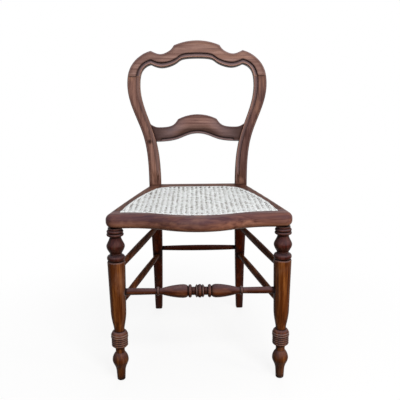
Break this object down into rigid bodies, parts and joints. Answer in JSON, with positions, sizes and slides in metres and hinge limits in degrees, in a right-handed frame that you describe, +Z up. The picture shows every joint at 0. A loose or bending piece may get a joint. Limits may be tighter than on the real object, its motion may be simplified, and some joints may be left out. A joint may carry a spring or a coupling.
{
  "type": "side chair",
  "caption": "Wooden side chair with a raked yoke back, shaped crest and mid rails, turned front legs and stretchers, and a flat woven seat panel held in a bowed frame.",
  "frame": {"origin": "on the floor under the middle of the chair's bounding box", "axes": "+Z up, the chair faces -Y, and +X is to the right in a front view; left and right in the names are as seen in that view"},
  "size_m": [0.4582, 0.5216, 0.8736],
  "materials": {
    "wood": "worn satin, dark reddish brown",
    "dowel_wood": "raw",
    "weave": "matt, off-white"
  },
  "bodies": {
    "root": {"left_back_post": "wood", "right_back_post": "wood", "crest_rail": "wood", "crest_dowels": "dowel_wood", "mid_rail": "wood", "front_seat_rail": "wood", "left_side_seat_rail": "wood", "right_side_seat_rail": "wood", "back_seat_rail": "wood", "seat_frame_dowels": "dowel_wood", "post_dowels": "dowel_wood", "left_front_leg": "wood", "right_front_leg": "wood", "front_stretcher": "wood", "left_upper_stretcher": "wood", "right_upper_stretcher": "wood", "left_lower_stretcher": "wood", "right_lower_stretcher": "wood", "back_stretcher": "wood", "seat_weave": "weave", "weave_binder": "weave"}
  },
  "joints": []
}
